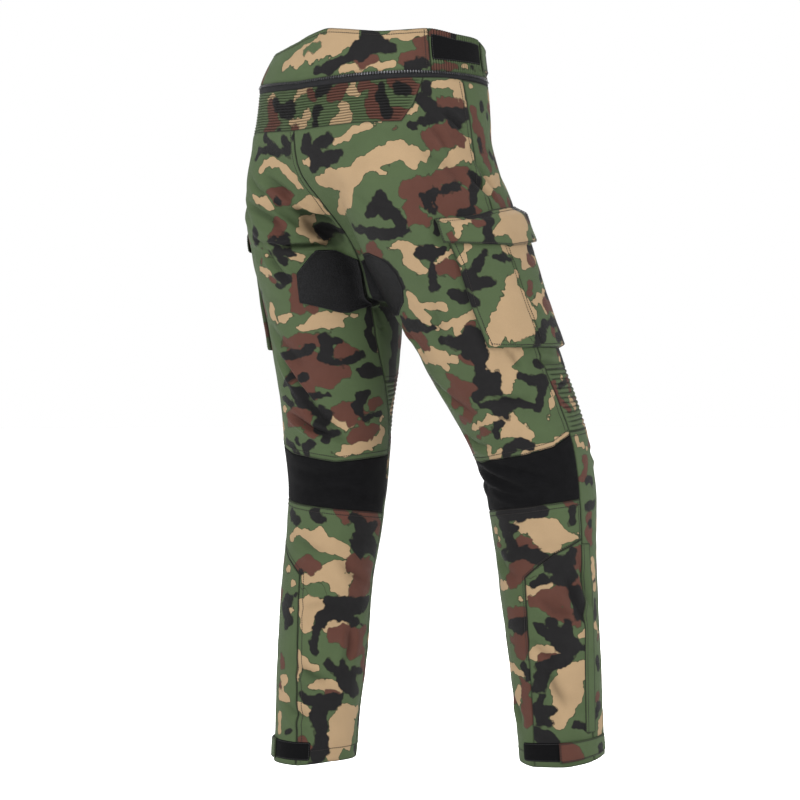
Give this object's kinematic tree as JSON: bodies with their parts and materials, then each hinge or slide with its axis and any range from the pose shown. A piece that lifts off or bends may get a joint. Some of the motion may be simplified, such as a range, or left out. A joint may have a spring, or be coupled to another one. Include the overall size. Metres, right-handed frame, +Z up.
{
  "type": "motorcycle cargo trousers",
  "caption": "Hollow worn motorcycle trousers in camouflage cloth, with cargo pockets, ribbed stretch panels, black back-knee panels, waist adjusters and hem tabs.",
  "frame": {"origin": "centre of the waist opening, at the waistband's mid height, where a wearer's waist holds the garment up", "axes": "+Z up, out of the waist; -Y to the wearer's front, -X to the wearer's right"},
  "size_m": [0.4596, 0.4482, 1.0753],
  "materials": {
    "camouflage_back": "coated oxford weave, printed in woodland camouflage, slight sheen",
    "camouflage_front": "coated oxford weave, printed in woodland camouflage, slight sheen",
    "black_stretch": "matt black stretch cloth",
    "grip_patch": "pebbled black grip cloth, slight gloss",
    "hook_and_loop": "black hook and loop pile",
    "zip_tape": "black woven zip tape with metal coloured teeth",
    "snap_metal": "dark satin metal"
  },
  "bodies": {
    "root": {"back_R": "camouflage_back", "front_R": "camouflage_front", "knee_accordion_R": "camouflage_front", "knee_back_R": "black_stretch", "shin_front_R": "camouflage_front", "calf_back_R": "camouflage_back", "calf_side_R": "camouflage_back", "leg_flap_R": "camouflage_back", "hem_loop_R": "hook_and_loop", "hem_tab_R": "camouflage_front", "cargo_pocket_R": "camouflage_back", "cargo_flap_R": "camouflage_front", "seat_patch_R": "grip_patch", "waistband_side_R": "camouflage_back", "waistband_front_R": "camouflage_front", "waist_loop_R": "hook_and_loop", "waist_tab_R": "camouflage_front", "back_L": "camouflage_back", "front_L": "camouflage_front", "knee_accordion_L": "camouflage_front", "knee_back_L": "black_stretch", "shin_front_L": "camouflage_front", "calf_back_L": "camouflage_back", "calf_side_L": "camouflage_back", "leg_flap_L": "camouflage_back", "hem_loop_L": "hook_and_loop", "hem_tab_L": "camouflage_front", "cargo_pocket_L": "camouflage_back", "cargo_flap_L": "camouflage_front", "seat_patch_L": "grip_patch", "waistband_side_L": "camouflage_back", "waistband_front_L": "camouflage_front", "waist_loop_L": "hook_and_loop", "waist_tab_L": "camouflage_front", "waistband_back": "camouflage_back", "connection_zip": "zip_tape", "back_stretch": "camouflage_back", "fly_flap": "camouflage_front", "waist_fastening": "camouflage_front", "waist_snap": "snap_metal"}
  },
  "joints": []
}
